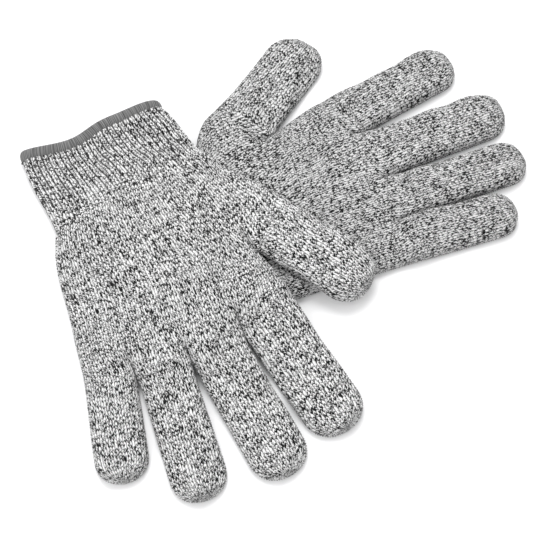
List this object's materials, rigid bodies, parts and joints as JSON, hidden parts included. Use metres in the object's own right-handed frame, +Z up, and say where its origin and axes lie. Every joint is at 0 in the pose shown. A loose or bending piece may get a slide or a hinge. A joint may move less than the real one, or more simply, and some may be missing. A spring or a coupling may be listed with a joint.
{
  "type": "pair of cut resistant gloves",
  "caption": "Pair of seamless knitted cut resistant gloves with ribbed cuffs, laid palms up, one across the other.",
  "frame": {"origin": "on the table under the middle of the pair", "axes": "+X is the way the under glove's fingers point, -Y the way the top glove's fingers point, +Z up from the table, towards the palms"},
  "size_m": [0.2906, 0.2472, 0.028],
  "materials": {
    "knit": "marled black, white and grey yarn, plain knit, matt",
    "hem": "dark grey overlock thread, matt",
    "elastic": "thread-covered elastic, matt"
  },
  "bodies": {
    "under_glove": {"under_palm": "knit", "under_cuff": "knit", "under_hem": "hem", "under_cuff_elastic": "elastic"},
    "top_glove": {"top_palm": "knit"},
    "top_cuff": {"top_cuff": "knit", "top_hem": "hem", "top_cuff_elastic": "elastic"},
    "under_thumb_base": {"under_thumb_base": "knit"},
    "under_thumb_tip": {"under_thumb_tip": "knit"},
    "under_index_base": {"under_index_base": "knit"},
    "under_index_middle": {"under_index_middle": "knit"},
    "under_index_tip": {"under_index_tip": "knit"},
    "under_middle_base": {"under_middle_base": "knit"},
    "under_middle_middle": {"under_middle_middle": "knit"},
    "under_middle_tip": {"under_middle_tip": "knit"},
    "under_ring_base": {"under_ring_base": "knit"},
    "under_ring_middle": {"under_ring_middle": "knit"},
    "under_ring_tip": {"under_ring_tip": "knit"},
    "under_pinky_base": {"under_pinky_base": "knit"},
    "under_pinky_middle": {"under_pinky_middle": "knit"},
    "under_pinky_tip": {"under_pinky_tip": "knit"},
    "top_thumb_base": {"top_thumb_base": "knit"},
    "top_thumb_tip": {"top_thumb_tip": "knit"},
    "top_index_base": {"top_index_base": "knit"},
    "top_index_middle": {"top_index_middle": "knit"},
    "top_index_tip": {"top_index_tip": "knit"},
    "top_middle_base": {"top_middle_base": "knit"},
    "top_middle_middle": {"top_middle_middle": "knit"},
    "top_middle_tip": {"top_middle_tip": "knit"},
    "top_ring_base": {"top_ring_base": "knit"},
    "top_ring_middle": {"top_ring_middle": "knit"},
    "top_ring_tip": {"top_ring_tip": "knit"},
    "top_pinky_base": {"top_pinky_base": "knit"},
    "top_pinky_middle": {"top_pinky_middle": "knit"},
    "top_pinky_tip": {"top_pinky_tip": "knit"}
  },
  "joints": [
    {"name": "top_glove_lift", "type": "slide", "parent": "under_glove", "child": "top_glove", "axis": [0, 0, 1], "range_m": [0, 0.15]},
    {"name": "top_wrist", "type": "hinge", "parent": "top_glove", "child": "top_cuff", "pos_m": [-0.07288, 0.0534, 0.027], "axis": [-1, 0, 0], "range_deg": [-60, 0]},
    {"name": "under_thumb_knuckle", "type": "hinge", "parent": "under_glove", "child": "under_thumb_base", "pos_m": [0.00877, 0.0844, 0.0115], "axis": [0.515, -0.8572, 0], "range_deg": [0, 60]},
    {"name": "under_thumb_tip_joint", "type": "hinge", "parent": "under_thumb_base", "child": "under_thumb_tip", "pos_m": [0.03345, 0.09924, 0.0115], "axis": [0.515, -0.8572, 0], "range_deg": [0, 75]},
    {"name": "under_index_knuckle", "type": "hinge", "parent": "under_glove", "child": "under_index_base", "pos_m": [0.06277, 0.06269, 0.0115], "axis": [0.165, -0.9863, 0], "range_deg": [0, 85]},
    {"name": "under_index_middle_joint", "type": "hinge", "parent": "under_index_base", "child": "under_index_middle", "pos_m": [0.09238, 0.06765, 0.0115], "axis": [0.165, -0.9863, 0], "range_deg": [0, 95]},
    {"name": "under_index_tip_joint", "type": "hinge", "parent": "under_index_middle", "child": "under_index_tip", "pos_m": [0.11213, 0.07095, 0.0115], "axis": [0.165, -0.9863, 0], "range_deg": [0, 62]},
    {"name": "under_middle_knuckle", "type": "hinge", "parent": "under_glove", "child": "under_middle_base", "pos_m": [0.07177, 0.03071, 0.0115], "axis": [-0.0175, -0.9998, 0], "range_deg": [0, 85]},
    {"name": "under_middle_middle_joint", "type": "hinge", "parent": "under_middle_base", "child": "under_middle_middle", "pos_m": [0.10263, 0.03017, 0.0115], "axis": [-0.0175, -0.9998, 0], "range_deg": [0, 95]},
    {"name": "under_middle_tip_joint", "type": "hinge", "parent": "under_middle_middle", "child": "under_middle_tip", "pos_m": [0.12321, 0.02981, 0.0115], "axis": [-0.0175, -0.9998, 0], "range_deg": [0, 62]},
    {"name": "under_ring_knuckle", "type": "hinge", "parent": "under_glove", "child": "under_ring_base", "pos_m": [0.07127, -0.00045, 0.011], "axis": [-0.0785, -0.9969, 0], "range_deg": [0, 85]},
    {"name": "under_ring_middle_joint", "type": "hinge", "parent": "under_ring_base", "child": "under_ring_middle", "pos_m": [0.10016, -0.00272, 0.011], "axis": [-0.0785, -0.9969, 0], "range_deg": [0, 95]},
    {"name": "under_ring_tip_joint", "type": "hinge", "parent": "under_ring_middle", "child": "under_ring_tip", "pos_m": [0.11942, -0.00423, 0.011], "axis": [-0.0785, -0.9969, 0], "range_deg": [0, 62]},
    {"name": "under_pinky_knuckle", "type": "hinge", "parent": "under_glove", "child": "under_pinky_base", "pos_m": [0.06527, -0.02975, 0.0105], "axis": [-0.1219, -0.9925, 0], "range_deg": [0, 85]},
    {"name": "under_pinky_middle_joint", "type": "hinge", "parent": "under_pinky_base", "child": "under_pinky_middle", "pos_m": [0.08736, -0.03246, 0.0105], "axis": [-0.1219, -0.9925, 0], "range_deg": [0, 95]},
    {"name": "under_pinky_tip_joint", "type": "hinge", "parent": "under_pinky_middle", "child": "under_pinky_tip", "pos_m": [0.10209, -0.03427, 0.0105], "axis": [-0.1219, -0.9925, 0], "range_deg": [0, 62]},
    {"name": "top_thumb_knuckle", "type": "hinge", "parent": "top_glove", "child": "top_thumb_base", "pos_m": [-0.00923, 0.0034, 0.02532], "axis": [-0.829, -0.5592, 0], "range_deg": [0, 60]},
    {"name": "top_thumb_tip_joint", "type": "hinge", "parent": "top_thumb_base", "child": "top_thumb_tip", "pos_m": [0.00687, -0.02047, 0.0253], "axis": [-0.829, -0.5592, 0], "range_deg": [0, 75]},
    {"name": "top_index_knuckle", "type": "hinge", "parent": "top_glove", "child": "top_index_base", "pos_m": [-0.03217, -0.0416, 0.02339], "axis": [-0.9763, -0.2164, 0], "range_deg": [0, 85]},
    {"name": "top_index_middle_joint", "type": "hinge", "parent": "top_index_base", "child": "top_index_middle", "pos_m": [-0.02567, -0.07091, 0.01164], "axis": [-0.9763, -0.2164, 0], "range_deg": [0, 95]},
    {"name": "top_index_tip_joint", "type": "hinge", "parent": "top_index_middle", "child": "top_index_tip", "pos_m": [-0.02134, -0.09046, 0.0115], "axis": [-0.9763, -0.2164, 0], "range_deg": [0, 62]},
    {"name": "top_middle_knuckle", "type": "hinge", "parent": "top_glove", "child": "top_middle_base", "pos_m": [-0.0639, -0.0506, 0.01977], "axis": [-0.9936, -0.1132, 0], "range_deg": [0, 85]},
    {"name": "top_middle_middle_joint", "type": "hinge", "parent": "top_middle_base", "child": "top_middle_middle", "pos_m": [-0.06041, -0.08127, 0.0115], "axis": [-0.9936, -0.1132, 0], "range_deg": [0, 95]},
    {"name": "top_middle_tip_joint", "type": "hinge", "parent": "top_middle_middle", "child": "top_middle_tip", "pos_m": [-0.05808, -0.10171, 0.0115], "axis": [-0.9936, -0.1132, 0], "range_deg": [0, 62]},
    {"name": "top_ring_knuckle", "type": "hinge", "parent": "top_glove", "child": "top_ring_base", "pos_m": [-0.09497, -0.0501, 0.01992], "axis": [-0.9976, 0.0698, 0], "range_deg": [0, 85]},
    {"name": "top_ring_middle_joint", "type": "hinge", "parent": "top_ring_base", "child": "top_ring_middle", "pos_m": [-0.09699, -0.079, 0.011], "axis": [-0.9976, 0.0698, 0], "range_deg": [0, 95]},
    {"name": "top_ring_tip_joint", "type": "hinge", "parent": "top_ring_middle", "child": "top_ring_tip", "pos_m": [-0.09834, -0.09828, 0.011], "axis": [-0.9976, 0.0698, 0], "range_deg": [0, 62]},
    {"name": "top_pinky_knuckle", "type": "hinge", "parent": "top_glove", "child": "top_pinky_base", "pos_m": [-0.12408, -0.0441, 0.01318], "axis": [-0.9781, 0.2079, 0], "range_deg": [0, 85]},
    {"name": "top_pinky_middle_joint", "type": "hinge", "parent": "top_pinky_base", "child": "top_pinky_middle", "pos_m": [-0.12871, -0.06587, 0.0105], "axis": [-0.9781, 0.2079, 0], "range_deg": [0, 95]},
    {"name": "top_pinky_tip_joint", "type": "hinge", "parent": "top_pinky_middle", "child": "top_pinky_tip", "pos_m": [-0.1318, -0.08038, 0.0105], "axis": [-0.9781, 0.2079, 0], "range_deg": [0, 62]}
  ],
  "couplings": [
    {"joint": "under_index_tip_joint", "follows": "under_index_middle_joint", "ratio": 0.65},
    {"joint": "under_middle_tip_joint", "follows": "under_middle_middle_joint", "ratio": 0.65},
    {"joint": "under_ring_tip_joint", "follows": "under_ring_middle_joint", "ratio": 0.65},
    {"joint": "under_pinky_tip_joint", "follows": "under_pinky_middle_joint", "ratio": 0.65},
    {"joint": "top_index_tip_joint", "follows": "top_index_middle_joint", "ratio": 0.65},
    {"joint": "top_middle_tip_joint", "follows": "top_middle_middle_joint", "ratio": 0.65},
    {"joint": "top_ring_tip_joint", "follows": "top_ring_middle_joint", "ratio": 0.65},
    {"joint": "top_pinky_tip_joint", "follows": "top_pinky_middle_joint", "ratio": 0.65}
  ]
}
